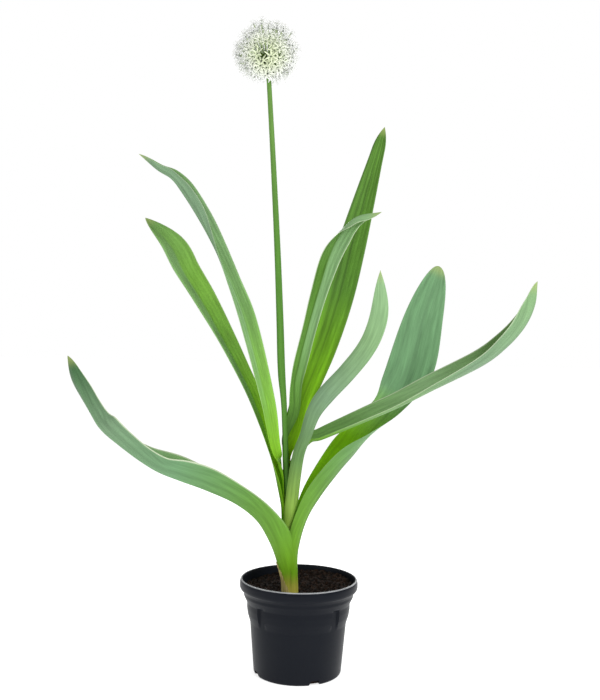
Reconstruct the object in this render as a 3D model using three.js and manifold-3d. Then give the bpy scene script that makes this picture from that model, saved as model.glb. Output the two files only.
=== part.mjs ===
// Potted white giant allium: a bulb plant in flower, in a plain plastic nursery pot.
// Millimetres, +Z up. The origin is the centre of the pot's flat underside, on the floor.
// -Y is the front. Eight leaves rise from one bulb, sheathed in each other round the flower
// stem, which carries a round head of star-shaped florets.
import * as THREE from "three";
import { mergeVertices } from "three/addons/utils/BufferGeometryUtils.js";
import Module from "manifold-3d";

const wasm = await Module();
wasm.setup();

// Driving dimensions of the pot, a standard 17 cm nursery pot of about 2 litres
const POT_HEIGHT = 137;
const RIM_RADIUS = 86.6; // outside of the rim band
const FOOT_RADIUS = 62.6; // where the wall meets the underside
const FLOOR_THICKNESS = 2.4;
const POT_SIDES = 48;
const LUG_COUNT = 4; // raised stacking lugs under the rim, with narrow gaps between them
const LUG_FOOT_Z = 74;
const LUG_TOP_Z = 104;
const DRAFT_RADIUS = 70.2; // plain wall at DRAFT_Z
const DRAFT_Z = 71;
const DRAFT_SLOPE = 0.082; // how much the wall's radius grows per millimetre of height
const NOTCH_WIDTH = 18; // drainage notches at the foot, at the floor
const NOTCH_TOP_WIDTH = 12;
const NOTCH_HEIGHT = 6.5;
const NOTCH_DEPTH = 13;
const NOTCH_COUNT = 4;
const FIRST_NOTCH_AZIMUTH = -67;

// Driving dimensions of the plant
const CLEAR = 0.3; // gap between pieces that touch
const WALL_CLEAR = 0.4; // the same where a faceted round wall faces another
const SOIL_EDGE_Z = 125; // peat at the pot's wall
const SOIL_NECK_Z = 122; // peat round the neck
const SOIL_SIDES = 24;
const SOIL_UNEVEN = 2.4; // how much the peat's surface goes up and down
const SOIL_HEAP = 6; // how much higher the peat lies at the wall, back right
const SOIL_HEAP_AZIMUTH = 48;
const NECK = { x: -12, y: -18, z: 122, leanX: -0.053, leanY: 0.012 };
const BULB_TOP = 100; // height along the neck where the sheaths stand on the bulb
const BULB_FOOT = 36;
const BULB_RADIUS = 31;
const BULB_TOP_RADIUS = 14.4;
const LEAF_MARGIN = 0.6; // thickness of a leaf at its edge and in its sheath
const LEAF_KEEL = 1.5; // thickness of a blade along its keel
const LEAF_STRIPS = 8; // facets across a leaf
const BLADE_STATIONS = 22;
const TIP_CROWDING = 1.3; // above 1, a blade's stations stand closer together towards its tip
const TIP_WIDTH = 3;
const SHEATH_STATIONS = 2; // rows of a leaf below the one where its blade begins
const THICKENING = 3; // stations over which a blade grows to its full thickness
const THINNING = 5; // stations over which it thins out to its tip
const NECK_PULL = 1.2; // how far a blade follows the neck before it bends away
const FLATTEST_CURL = 0.05; // radians, so that a flat leaf is still an arc of finite radius
const STEM_SIDES = 10;
const STEM_STATIONS = 17;
const HEAD_RADIUS = 48; // distance from the middle of the head to its florets
const HEAD_RISE = 1.14; // height of the head above its middle, over its radius
const HEAD_DROP = 0.64; // and below it
const FLORET_COUNT = 84;
const HEAD_CROWN = 0.985; // height of the highest florets over the head's middle, in radii
const HEAD_SPAN = 1.9; // from there down to the lowest florets
const INNER_LAYER = 0.9; // every second floret sits a little deeper
const REACH_SPREAD = 0.04;
const TEPAL_REACH = 10.4; // from the middle of a floret to a tepal's tip
const TEPAL_NOTCH = 3.2; // from the middle of a floret to the notch between two tepals
const TEPAL_THICKNESS = 0.7;
const TEPAL_CUP = 1.6; // how far a tepal's tip stands forward
const PEDICEL_RADIUS = 0.8;
const STALK_ROOT = 1.5; // how deep a floret's stalk is rooted in the receptacle
const RECEPTACLE_RADIUS = 6.5;
const COLLAR_FOOT_RADIUS = 3.6; // where the receptacle meets the stem
const COLLAR_TOP_RADIUS = 4.4;
const COLLAR_RISE = 3.5;

// Each leaf's sheath is an arc of radius `ring` round the neck, open opposite its `side`.
// `wrap` is the arc's angle low down, and `topWrap` where the blade leaves the neck.
// Blade rows: keel x, y, z, heading, roll, width, curl across and fold at the keel.
// Lengths are millimetres and angles are degrees. Heading 0 is +X and 90 is +Y. Roll turns
// the blade about its keel, and curl is spread over the width as a round channel. The last
// tipLength of a blade narrows to its tip, roundly at a low tipPower and evenly near 1.
const LEAVES = [
  { name: "leaf_low_left", side: 186, ring: 12.5, wrap: 190, topWrap: 176, leavesAt: 134,
    tipLength: 60, tipPower: 0.75, blade: [
      [-33, -19, 165, 187, -5, 59, 150, 4], [-45, -21, 195, 188, -8, 86, 120, 14],
      [-64, -24, 225, 189, -7, 74, 100, 22], [-95, -29, 249, 190, -9, 70, 90, 28],
      [-136, -36, 268, 192, -9, 81, 90, 30], [-171, -41, 281, 193, -1, 84, 86, 32],
      [-203, -46, 294, 193, 8, 73, 80, 34], [-230, -51, 311, 193, 0, 61, 74, 34],
      [-257, -57, 332, 193, -11, 59, 70, 32], [-281, -62, 353, 193, -12, 66, 66, 30],
      [-295, -66, 375, 194, -32, 45, 60, 26], [-316, -75, 424, 194, -50, 33, 50, 18],
      [-326, -81, 458, 194, -44, 34, 46, 14]] },
  { name: "leaf_low_right", side: 4, ring: 11.5, wrap: 180, topWrap: 168, leavesAt: 152,
    tipLength: 185, tipPower: 0.5, blade: [
      [-1, -17, 184, 6, 11, 52, 150, 4], [10, -13, 224, 8, 8, 59, 110, 16],
      [29, -7, 257, 10, 6, 70, 90, 26], [58, 3, 295, 12, -1, 77, 80, 30],
      [81, 12, 321, 14, -9, 82, 70, 28], [104, 22, 351, 16, -26, 65, 62, 24],
      [133, 34, 383, 18, -40, 59, 56, 18], [153, 46, 415, 20, -45, 72, 48, 12],
      [167, 56, 451, 20, -60, 76, 40, 8], [185, 69, 527, 20, -76, 74, 34, 6],
      [210, 80, 607, 20, -86, 76, 30, 5]] },
  { name: "leaf_front", side: -60, ring: 10.5, wrap: 170, topWrap: 140, leavesAt: 212,
    tipLength: 72, tipPower: 1, blade: [
      [-12, -32, 256, -56, 31, 23, 110, 4], [-5, -42, 318, -52, 40, 20, 84, 8],
      [5, -48, 349, -50, 45, 20, 76, 10], [15, -54, 381, -48, 49, 24, 70, 10],
      [31, -60, 407, -46, 56, 29, 66, 10], [59, -69, 439, -46, 58, 29, 62, 10],
      [83, -77, 470, -46, 55, 29, 60, 10], [97, -83, 498, -46, 51, 29, 60, 9],
      [104, -89, 531, -46, 49, 28, 60, 8], [103, -97, 583, -46, 49, 28, 56, 8]] },
  { name: "leaf_left", side: 160, ring: 9.5, wrap: 175, topWrap: 150, leavesAt: 240,
    tipLength: 88, tipPower: 0.8, blade: [
      [-35, -14, 278, 172, 0, 28, 112, 0], [-47, -3, 337, 150, 34, 23, 80, 14],
      [-70, 2, 394, 150, 31, 29, 60, 20], [-92, 6, 438, 150, 31, 31, 50, 22],
      [-119, 10, 485, 150, 25, 39, 46, 22], [-152, 15, 542, 150, 29, 46, 44, 20],
      [-180, 20, 585, 150, 27, 50, 40, 18], [-202, 26, 625, 150, 27, 50, 34, 14],
      [-242, 33, 667, 150, 23, 48, 26, 8]] },
  { name: "leaf_far_right", side: 4, ring: 8.5, wrap: 150, topWrap: 130, leavesAt: 296,
    tipLength: 60, tipPower: 0.75, blade: [
      [11, -15, 335, 0, -22, 31, 110, 16], [33, -19, 344, -4, -27, 38, 96, 18],
      [100, -33, 375, -8, -30, 45, 80, 20], [140, -41, 394, -8, -28, 48, 76, 20],
      [181, -49, 416, -8, -23, 54, 76, 20], [251, -64, 454, -8, -13, 59, 78, 22],
      [285, -71, 482, -8, -6, 59, 80, 24], [308, -76, 511, -8, 1, 57, 80, 24],
      [320, -79, 541, -8, 9, 53, 78, 24], [322, -82, 573, -8, 12, 52, 76, 24]] },
  { name: "leaf_arching", side: 165, ring: 7.5, wrap: 160, topWrap: 140, leavesAt: 282,
    tipLength: 50, tipPower: 0.8, blade: [
      [-34, -17, 305, 184, 0, 21, 100, 0], [-39, -20, 331, 164, 52, 19, 90, 10],
      [-53, -18, 397, 158, 39, 28, 60, 18], [-84, -21, 508, 155, 33, 35, 48, 22],
      [-108, -27, 570, 155, 31, 32, 52, 28], [-138, -34, 629, 155, 13, 39, 60, 42],
      [-159, -38, 665, 155, -4, 42, 62, 50], [-179, -42, 695, 155, -3, 41, 62, 50],
      [-193, -45, 712, 155, 1, 32, 60, 46], [-213, -48, 724, 155, -6, 26, 56, 40],
      [-238, -52, 745, 155, -10, 28, 46, 30]] },
  { name: "leaf_bent_tip", side: 100, ring: 5.6, wrap: 150, topWrap: 100, leavesAt: 330,
    tipLength: 40, tipPower: 0.8, blade: [
      [-24, -9, 346, 92, 0, 10, 88, 0], [-13, -3, 381, 98, -11, 18, 60, 6],
      [-13, -5, 421, 96, -37, 26, 50, 12], [-7, -7, 453, 94, -31, 28, 46, 14],
      [6, -13, 509, 92, -34, 29, 44, 14], [19, -16, 557, 90, -25, 30, 42, 14],
      [33, -20, 607, 90, -27, 38, 46, 18], [46, -23, 637, 90, -37, 41, 56, 30],
      [60, -25, 656, 90, -56, 35, 60, 40], [78, -27, 668, 90, -63, 27, 60, 44],
      [109, -31, 673, 90, -53, 25, 50, 36]] },
  { name: "leaf_tall", side: 64, ring: 6.5, wrap: 150, topWrap: 124, leavesAt: 312,
    tipLength: 40, tipPower: 0.9, blade: [
      [-8, 1, 361, 70, -21, 36, 70, 5], [0, 9, 398, 74, -22, 36, 50, 6],
      [28, 19, 473, 70, -22, 43, 40, 7], [51, 28, 548, 68, -23, 46, 36, 7],
      [69, 38, 625, 67, -25, 45, 34, 7], [89, 49, 703, 66, -25, 34, 32, 6],
      [108, 61, 775, 66, -25, 22, 30, 5], [120, 69, 820, 66, -25, 18, 30, 4]] },
];
// Flower stem: straight in the neck, then rows of x, y, z of its middle line and its radius
const STEM_RADIUS = 4.1;
const STEM_LEAVES_AT = 380;
const STEM = [
  [-31, -14, 440, 5.5],
  [-35, -13, 520, 5.2],
  [-40.5, -12, 620, 4.6],
  [-48.5, -10, 740, 4.0],
  [-58.5, -9, 878, 3.4],
];
const HEAD_CENTRE = [-61, -9, 900];
const HUB = [-59, -9, 886]; // middle of the receptacle

const radians = THREE.MathUtils.degToRad;
const vec = (x, y, z) => new THREE.Vector3(x, y, z);

// Seeded random numbers from 0 to 1, the same on every run
function seeded(seed) {
  let state = seed >>> 0;
  return () => {
    state = (Math.imul(state, 1664525) + 1013904223) >>> 0;
    return state / 4294967296;
  };
}

// A closed mesh with shared vertices, as a solid that can be joined and cut
function toSolid(geometry) {
  const bare = geometry.clone();
  bare.deleteAttribute("normal");
  bare.deleteAttribute("uv");
  const merged = mergeVertices(bare, 1e-4);
  return new wasm.Manifold(new wasm.Mesh({
    numProp: 3,
    vertProperties: new Float32Array(merged.attributes.position.array),
    triVerts: new Uint32Array(merged.index.array),
  }));
}

function toGeometry(solid) {
  const mesh = solid.getMesh();
  const geometry = new THREE.BufferGeometry();
  geometry.setAttribute("position", new THREE.BufferAttribute(mesh.vertProperties, 3));
  geometry.setIndex(new THREE.BufferAttribute(mesh.triVerts, 1));
  return geometry;
}

// A closed body stretched over a row of rings, each a loop of the same even number of points.
// Points i and n-1-i of a ring face each other, so strips between them close both ends.
function skin(rings) {
  const n = rings[0].length;
  const half = n / 2;
  const faces = [];
  for (let k = 0; k + 1 < rings.length; k += 1) {
    for (let i = 0; i < n; i += 1) {
      const a = k * n + i;
      const b = k * n + ((i + 1) % n);
      if (i < half) faces.push(a, b, b + n, a, b + n, a + n);
      else faces.push(a, b, a + n, b, b + n, a + n);
    }
  }
  const last = (rings.length - 1) * n;
  for (let i = 0; i + 1 < half; i += 1) {
    const j = n - 1 - i;
    faces.push(i, j, j - 1, i, j - 1, i + 1);
    faces.push(last + i, last + j - 1, last + j, last + i, last + i + 1, last + j - 1);
  }
  const points = rings.flat();
  const geometry = new THREE.BufferGeometry().setFromPoints(points);
  let volume = 0;
  for (let f = 0; f < faces.length; f += 3) {
    const [a, b, c] = [points[faces[f]], points[faces[f + 1]], points[faces[f + 2]]];
    volume += a.dot(vec(0, 0, 0).crossVectors(b, c));
  }
  if (volume < 0) {
    for (let f = 0; f < faces.length; f += 3) [faces[f], faces[f + 1]] = [faces[f + 1], faces[f]];
  }
  geometry.setIndex(faces);
  return geometry;
}

// The straight line that the sheaths and the foot of the flower stem share
const NECK_DIRECTION = vec(NECK.leanX, NECK.leanY, 1).normalize();
const NECK_EAST = vec(1, 0, 0).addScaledVector(NECK_DIRECTION, -NECK_DIRECTION.x).normalize();
const NECK_NORTH = vec(0, 0, 0).crossVectors(NECK_DIRECTION, NECK_EAST);
const neckPoint = (z) => vec(NECK.x + NECK.leanX * (z - NECK.z), NECK.y + NECK.leanY * (z - NECK.z), z);

// A smooth line through rows of numbers (Catmull-Rom), from `before` to beyond the last row.
// Its points stand closer together towards the last row if `crowding` is above 1.
function smoothRows(rows, before, count, crowding = 1) {
  const last = rows[rows.length - 1];
  const after = last.map((v, c) => 2 * v - rows[rows.length - 2][c]);
  const all = [before, ...rows, after];
  return Array.from({ length: count }, (_, step) => {
    const t = (1 - (1 - step / (count - 1)) ** crowding) * (rows.length - 1);
    const k = Math.min(Math.floor(t), rows.length - 2);
    const f = t - k;
    const [a, b, c, d] = all.slice(k, k + 4);
    return b.map((_v, i) => 0.5 * (2 * b[i] + (c[i] - a[i]) * f
      + (2 * a[i] - 5 * b[i] + 4 * c[i] - d[i]) * f * f
      + (3 * b[i] - a[i] - 3 * c[i] + d[i]) * f * f * f));
  });
}

// Direction of a line of points at point k
function directionAt(points, k) {
  const [before, after] = [points[Math.max(k - 1, 0)], points[Math.min(k + 1, points.length - 1)]];
  return after.clone().sub(before).normalize();
}

// Rows of a leaf from the top of the bulb to its tip. The blade leaves the neck along it.
function leafRows(leaf) {
  const sheathRow = (z, wrap) => {
    const side = radians(leaf.side);
    const p = neckPoint(z)
      .addScaledVector(NECK_EAST, leaf.ring * Math.cos(side))
      .addScaledVector(NECK_NORTH, leaf.ring * Math.sin(side));
    return [p.x, p.y, p.z, leaf.side, 0, leaf.ring * radians(wrap), wrap, 0];
  };
  const foot = sheathRow(BULB_TOP, leaf.wrap);
  const top = sheathRow(leaf.leavesAt, leaf.topWrap);
  const first = leaf.blade[0];
  const reach = NECK_PULL * vec(...first.slice(0, 3)).distanceTo(vec(...top.slice(0, 3)));
  const before = [...first];
  NECK_DIRECTION.toArray().forEach((part, c) => { before[c] = first[c] - reach * part; });
  const halfway = foot.map((v, c) => (v + top[c]) / 2);
  const blade = smoothRows([top, ...leaf.blade], before, BLADE_STATIONS, TIP_CROWDING);
  return [foot, halfway, ...blade];
}

// Sections of a leaf, one at each of its rows: an arc on each side of a fold at the keel.
// Each gives the point at u, from -1 to 1 across the outer face, or `depth` inside it.
function leafSections(leaf) {
  const rows = leafRows(leaf);
  const keel = rows.map((row) => vec(row[0], row[1], row[2]));
  const toTip = rows.map(() => 0);
  for (let k = rows.length - 2; k >= 0; k -= 1) toTip[k] = toTip[k + 1] + keel[k].distanceTo(keel[k + 1]);
  return rows.map(([, , , heading, roll, fullWidth, curlAngle, foldAngle], k) => {
    const tangent = k <= SHEATH_STATIONS ? NECK_DIRECTION : directionAt(keel, k);
    const side = vec(Math.sin(radians(heading)), -Math.cos(radians(heading)), 0);
    side.addScaledVector(tangent, -side.dot(tangent)).normalize();
    const inner = vec(0, 0, 0).crossVectors(side, tangent);
    const turned = radians(roll);
    const across = side.clone().multiplyScalar(Math.cos(turned)).addScaledVector(inner, Math.sin(turned));
    const upward = inner.clone().multiplyScalar(Math.cos(turned)).addScaledVector(side, -Math.sin(turned));
    const fromTip = THREE.MathUtils.clamp(toTip[k] / leaf.tipLength, 0, 1);
    const width = Math.max(fullWidth * (1 - (1 - fromTip) ** 2) ** leaf.tipPower, TIP_WIDTH);
    const curl = Math.max(radians(curlAngle), FLATTEST_CURL);
    const fold = radians(foldAngle);
    return (u, depth = 0) => {
      const turn = (Math.abs(u) * curl) / 2 + fold;
      const tilt = u === 0 ? 0 : turn;
      const along = (width / curl) * (Math.sin(turn) - Math.sin(fold)) - depth * Math.sin(tilt);
      const lift = (width / curl) * (Math.cos(fold) - Math.cos(turn)) + depth * Math.cos(tilt);
      return keel[k].clone().addScaledVector(across, Math.sign(u) * along).addScaledVector(upward, lift);
    };
  });
}

const STRIP_EDGES = Array.from({ length: LEAF_STRIPS + 1 }, (_, j) => (2 * j) / LEAF_STRIPS - 1);

// A leaf: its sections, as thick as their place asks
function leafGeometry(leaf) {
  const sections = leafSections(leaf);
  const rings = sections.map((at, k) => {
    const grown = THREE.MathUtils.clamp((k - SHEATH_STATIONS) / THICKENING, 0, 1);
    const body = grown * THREE.MathUtils.clamp((sections.length - k) / THINNING, 0, 1);
    const thickness = (u) => LEAF_MARGIN + (LEAF_KEEL - LEAF_MARGIN) * body * (1 - u * u);
    const innerFace = STRIP_EDGES.map((u) => at(u, thickness(u)));
    return [...STRIP_EDGES.map((u) => at(u)), ...innerFace.reverse()];
  });
  return skin(rings);
}

// Pot: one moulded shell, turned from its section, with stacking lugs and drainage notches
const POT_OUTSIDE = [
  [0, 0], [FOOT_RADIUS, 0], [FOOT_RADIUS + 1.7, 2.5], [DRAFT_RADIUS, DRAFT_Z], [70.4, LUG_FOOT_Z],
  [73.9, 87], [75.5, 95], [75.5, 102.5], [78.8, 109.5], [80.4, 113], [80.6, 116.5], [83, 121],
  [85.3, 123.3], [RIM_RADIUS, 127], [RIM_RADIUS, 131.5], [85.6, 135], [84, POT_HEIGHT],
];
const POT_FILLED_WALL = [ // from the floor up to the peat's edge
  [FOOT_RADIUS + 0.3, FLOOR_THICKNESS], [68.8, DRAFT_Z], [71.4, 103], [76.6, 111], [80.2, 121],
];
const POT_INSIDE = [
  [82.6, POT_HEIGHT - 0.3], [81.9, 134], ...[...POT_FILLED_WALL].reverse(), [0, FLOOR_THICKNESS],
];
const section = (rows) => rows.map(([r, z]) => new THREE.Vector2(r, z));

// A turned body, with its axis along +Z
function turned(rows, sides) {
  const geometry = new THREE.LatheGeometry(section(rows), sides);
  geometry.rotateX(Math.PI / 2);
  geometry.deleteAttribute("normal");
  geometry.deleteAttribute("uv");
  return mergeVertices(geometry, 1e-3);
}

function potGeometry() {
  const shell = turned([...POT_OUTSIDE, ...POT_INSIDE], POT_SIDES);
  const p = shell.attributes.position;
  for (let i = 0; i < p.count; i += 1) {
    const [x, y, z] = [p.getX(i), p.getY(i), p.getZ(i)];
    const radius = Math.hypot(x, y);
    const plain = DRAFT_RADIUS + DRAFT_SLOPE * (z - DRAFT_Z);
    const atLugs = z > LUG_FOOT_Z + 1 && z < LUG_TOP_Z && radius > plain;
    const corner = Math.round((Math.atan2(y, x) / (2 * Math.PI)) * POT_SIDES + POT_SIDES);
    const betweenLugs = (corner + POT_SIDES / LUG_COUNT / 2) % (POT_SIDES / LUG_COUNT) === 0;
    if (atLugs && betweenLugs) p.setXYZ(i, (x * plain) / radius, (y * plain) / radius, z);
  }
  const notchFace = new THREE.Shape(section([
    [-NOTCH_WIDTH / 2, -1], [NOTCH_WIDTH / 2, -1],
    [NOTCH_TOP_WIDTH / 2, NOTCH_HEIGHT], [-NOTCH_TOP_WIDTH / 2, NOTCH_HEIGHT],
  ]));
  let solid = toSolid(shell);
  for (let k = 0; k < NOTCH_COUNT; k += 1) {
    const notch = new THREE.ExtrudeGeometry(notchFace, { depth: 2 * NOTCH_DEPTH, bevelEnabled: false });
    notch.rotateX(Math.PI / 2);
    notch.translate(0, FOOT_RADIUS + NOTCH_DEPTH, 0);
    notch.rotateZ(radians(FIRST_NOTCH_AZIMUTH + (360 * k) / NOTCH_COUNT - 90));
    solid = solid.subtract(toSolid(notch));
  }
  return toGeometry(solid);
}

// Bulb: round and shouldered, with a basal plate below and a flat top that the sheaths stand on
const BULB_SECTION = [
  [0, BULB_FOOT], [10, BULB_FOOT], [13, BULB_FOOT + 4], [24, 45], [BULB_RADIUS - 1, 54],
  [BULB_RADIUS, 62], [28, 73], [22, 83], [17, 91], [BULB_TOP_RADIUS, 97],
  [BULB_TOP_RADIUS, BULB_TOP - CLEAR], [0, BULB_TOP - CLEAR],
];
const BULB_SIDES = 20;
const neckTurn = new THREE.Quaternion().setFromUnitVectors(vec(0, 0, 1), NECK_DIRECTION);
const neckFoot = neckPoint(0);

const alongNeck = (geometry) => geometry.applyQuaternion(neckTurn).translate(...neckFoot.toArray());

// Peat: it fills the pot to below the lip, is lower and uneven round the neck, and has one
// plain hole in the shape of the bulb and neck
function soilGeometry() {
  const random = seeded(17);
  const floor = FLOOR_THICKNESS + CLEAR;
  const heapward = radians(SOIL_HEAP_AZIMUTH);
  const wall = POT_FILLED_WALL.map(([r, z]) => [r - WALL_CLEAR, Math.max(z, floor)]);
  const top = [
    [80, SOIL_EDGE_Z - 3], [70, SOIL_EDGE_Z], [52, SOIL_NECK_Z + 1], [34, SOIL_NECK_Z], [17, SOIL_NECK_Z],
  ];
  const body = turned([[0, floor], ...wall, ...top, [0, SOIL_NECK_Z]], SOIL_SIDES);
  const p = body.attributes.position;
  for (let i = 0; i < p.count; i += 1) {
    const onTop = p.getZ(i) >= SOIL_NECK_Z;
    const heap = Math.max(p.getX(i) * Math.cos(heapward) + p.getY(i) * Math.sin(heapward), 0) / RIM_RADIUS;
    if (onTop) p.setZ(i, p.getZ(i) + SOIL_UNEVEN * (random() - 0.5) + SOIL_HEAP * heap ** 2);
  }
  const skinned = BULB_SECTION.slice(1, -2).map(([r, z]) => [r + WALL_CLEAR, z]);
  const mouth = SOIL_EDGE_Z + 20;
  const hole = alongNeck(turned(
    [[0, BULB_FOOT - CLEAR], ...skinned, [BULB_TOP_RADIUS + WALL_CLEAR, mouth], [0, mouth]], BULB_SIDES));
  return toGeometry(toSolid(body).subtract(toSolid(hole)));
}

// Old basal sheath: a dry papery arc that lies against the outside of the lowest leaf, from
// the top of the bulb to where that leaf bends away, torn off at a slant
const DRY_SHEATH = { gap: 0.4, thickness: 0.6 };
// Where the arc starts and ends across the leaf, at each of the leaf's lowest stations
const DRY_SHEATH_SPANS = [[-0.5, 0.9], [-0.5, 0.8], [-0.42, 0.6], [-0.2, 0.35]];

function drySheathGeometry() {
  const sections = leafSections(LEAVES[0]);
  return skin(DRY_SHEATH_SPANS.map(([from, to], k) => {
    const arc = (depth) => STRIP_EDGES.map((u) => sections[k](from + ((u + 1) / 2) * (to - from), depth));
    return [...arc(-DRY_SHEATH.gap), ...arc(-DRY_SHEATH.gap - DRY_SHEATH.thickness).reverse()];
  }));
}

// A rod with round rings along rows of x, y, z and radius
function rodGeometry(rows, sides) {
  const middle = rows.map((row) => vec(row[0], row[1], row[2]));
  const rings = rows.map((row, k) => {
    const tangent = directionAt(middle, k);
    const east = vec(1, 0, 0).addScaledVector(tangent, -tangent.x).normalize();
    const north = vec(0, 0, 0).crossVectors(tangent, east);
    return Array.from({ length: sides }, (_, j) => {
      const angle = (2 * Math.PI * j) / sides;
      return middle[k].clone()
        .addScaledVector(east, row[3] * Math.cos(angle))
        .addScaledVector(north, row[3] * Math.sin(angle));
    });
  });
  return skin(rings);
}

function stemGeometry() {
  const inNeck = (z) => [...neckPoint(z).toArray(), STEM_RADIUS];
  const halfway = (BULB_TOP + STEM_LEAVES_AT) / 2;
  const bare = smoothRows([inNeck(STEM_LEAVES_AT), ...STEM], inNeck(halfway), STEM_STATIONS);
  return rodGeometry([inNeck(BULB_TOP), inNeck(halfway), ...bare], STEM_SIDES);
}

// Floret on its three-sided stalk: a star of six narrow tepals, cupped a little, facing +Z.
// The stalk reaches down by `length`, and the middle of the star is at the origin.
function floretGeometry(length) {
  const corners = 12;
  const star = (z) => Array.from({ length: corners }, (_, j) => {
    const angle = (2 * Math.PI * j) / corners;
    const reach = j % 2 ? TEPAL_NOTCH : TEPAL_REACH;
    return vec(reach * Math.cos(angle), reach * Math.sin(angle), z + (j % 2 ? 0 : TEPAL_CUP));
  });
  const stalk = (z) => [0, 120, 240].map((angle) => vec(
    PEDICEL_RADIUS * Math.cos(radians(angle)), PEDICEL_RADIUS * Math.sin(radians(angle)), z));
  const points = [
    vec(0, 0, TEPAL_THICKNESS), ...star(TEPAL_THICKNESS), ...star(0), ...stalk(-1), ...stalk(-length),
  ];
  const under = 1 + corners;
  const collar = under + corners;
  const foot = collar + 3;
  const faces = [];
  for (let j = 0; j < corners; j += 1) {
    const next = (j + 1) % corners;
    const near = collar + (Math.floor((j + 2) / 4) % 3);
    faces.push(0, 1 + j, 1 + next);
    faces.push(1 + j, under + j, under + next, 1 + j, under + next, 1 + next);
    faces.push(under + next, under + j, near);
    if (j % 4 === 2) faces.push(under + j, collar + (Math.floor((j + 1) / 4) % 3), near);
  }
  for (let c = 0; c < 3; c += 1) {
    const next = (c + 1) % 3;
    faces.push(collar + c, foot + c, foot + next, collar + c, foot + next, collar + next);
  }
  faces.push(foot, foot + 2, foot + 1);
  const geometry = new THREE.BufferGeometry().setFromPoints(points);
  geometry.setIndex(faces);
  return geometry;
}

// Head: a small green receptacle on the stem, with stalked florets all round it. Their
// places follow a golden-angle spiral from the top of the head to its foot.
function umbelGeometry() {
  const random = seeded(5);
  const up = vec(0, 0, 1);
  const centre = vec(...HEAD_CENTRE);
  const hub = vec(...HUB);
  const receptacle = new THREE.SphereGeometry(RECEPTACLE_RADIUS, STEM_SIDES, 6).translate(...hub.toArray());
  const [below, top] = STEM.slice(-2).map((row) => vec(...row.slice(0, 3)));
  const along = top.clone().sub(below).normalize();
  const onStem = (height) => top.clone().addScaledVector(along, height).toArray();
  const collar = rodGeometry([
    [...onStem(CLEAR), COLLAR_FOOT_RADIUS], [...onStem(COLLAR_RISE), COLLAR_TOP_RADIUS],
    [...hub.toArray(), COLLAR_TOP_RADIUS],
  ], STEM_SIDES);
  let head = toSolid(receptacle).add(toSolid(collar));
  for (let k = 0; k < FLORET_COUNT; k += 1) {
    const height = HEAD_CROWN - (HEAD_SPAN * (k + 0.5)) / FLORET_COUNT;
    const turn = k * Math.PI * (3 - Math.sqrt(5));
    const level = Math.sqrt(1 - height * height);
    const reach = HEAD_RADIUS * (k % 2 ? INNER_LAYER : 1) * (1 + REACH_SPREAD * random());
    const rise = height > 0 ? HEAD_RISE : HEAD_DROP;
    const seat = vec(level * Math.cos(turn), level * Math.sin(turn), height * rise)
      .multiplyScalar(reach).add(centre);
    const outward = seat.clone().sub(hub).normalize();
    const floret = floretGeometry(seat.distanceTo(hub) - RECEPTACLE_RADIUS + STALK_ROOT);
    floret.rotateZ(random() * Math.PI);
    floret.applyQuaternion(new THREE.Quaternion().setFromUnitVectors(up, outward));
    floret.translate(seat.x, seat.y, seat.z);
    head = head.add(toSolid(floret));
  }
  return toGeometry(head);
}

const finish = (color, roughness) => new THREE.MeshStandardMaterial({ color, roughness, metalness: 0 });
const group = new THREE.Group();

function addPiece(name, geometry, material, parent = group) {
  const mesh = new THREE.Mesh(geometry, material);
  mesh.name = name;
  parent.add(mesh);
  return mesh;
}

addPiece("pot", potGeometry(), finish(0x1b1e22, 0.45));
addPiece("soil", soilGeometry(), finish(0x241a14, 0.95));

const bulb = addPiece("bulb", turned(BULB_SECTION, BULB_SIDES), finish(0xd9c9a3, 0.6));
bulb.position.copy(neckFoot);
bulb.quaternion.copy(neckTurn);

addPiece("dry_sheath", drySheathGeometry(), finish(0xa98a5b, 0.8));

const leaves = new THREE.Group();
const leafFinish = finish(0x5f9a4a, 0.5);
for (const leaf of LEAVES) addPiece(leaf.name, leafGeometry(leaf), leafFinish, leaves);
group.add(leaves);

addPiece("flower_stem", stemGeometry(), finish(0x5d9447, 0.45));
addPiece("umbel", umbelGeometry(), finish(0xf2f4ea, 0.6));

export default group;
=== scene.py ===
import bpy
import numpy as np
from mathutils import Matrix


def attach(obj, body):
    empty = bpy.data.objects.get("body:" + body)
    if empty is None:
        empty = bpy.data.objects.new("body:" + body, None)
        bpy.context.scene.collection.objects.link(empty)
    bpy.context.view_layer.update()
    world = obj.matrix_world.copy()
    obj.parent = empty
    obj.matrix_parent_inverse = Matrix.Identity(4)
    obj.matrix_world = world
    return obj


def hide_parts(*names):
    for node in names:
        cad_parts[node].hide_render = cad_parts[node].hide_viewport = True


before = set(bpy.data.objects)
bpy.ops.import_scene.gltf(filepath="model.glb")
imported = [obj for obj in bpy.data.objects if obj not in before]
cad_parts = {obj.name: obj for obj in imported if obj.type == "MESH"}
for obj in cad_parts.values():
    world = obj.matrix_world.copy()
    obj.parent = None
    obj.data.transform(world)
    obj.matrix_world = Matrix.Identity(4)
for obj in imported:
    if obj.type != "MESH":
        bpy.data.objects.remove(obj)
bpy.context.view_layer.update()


# Camera and studio
# The camera stands 1.33 m in front of the pot, level, at half the plant's height. The floor
# and backdrop are plain white, lit so far that only a faint shadow shows at the pot's foot. A
# large soft light stands at the right, a weaker one at the left, and a strip light behind.
CAMERA_PLACE = (-0.0047, -1.326, 0.4721)
CAMERA_ROLL = -0.019
CAMERA_LENS = 46.29

camera = bpy.data.objects.new("camera", bpy.data.cameras.new("camera"))
camera.data.lens = CAMERA_LENS
camera.location = CAMERA_PLACE
camera.rotation_euler = (np.pi / 2, CAMERA_ROLL, 0)
bpy.context.scene.collection.objects.link(camera)
bpy.context.scene.camera = camera
bpy.context.scene.view_settings.view_transform = "Standard"


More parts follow.
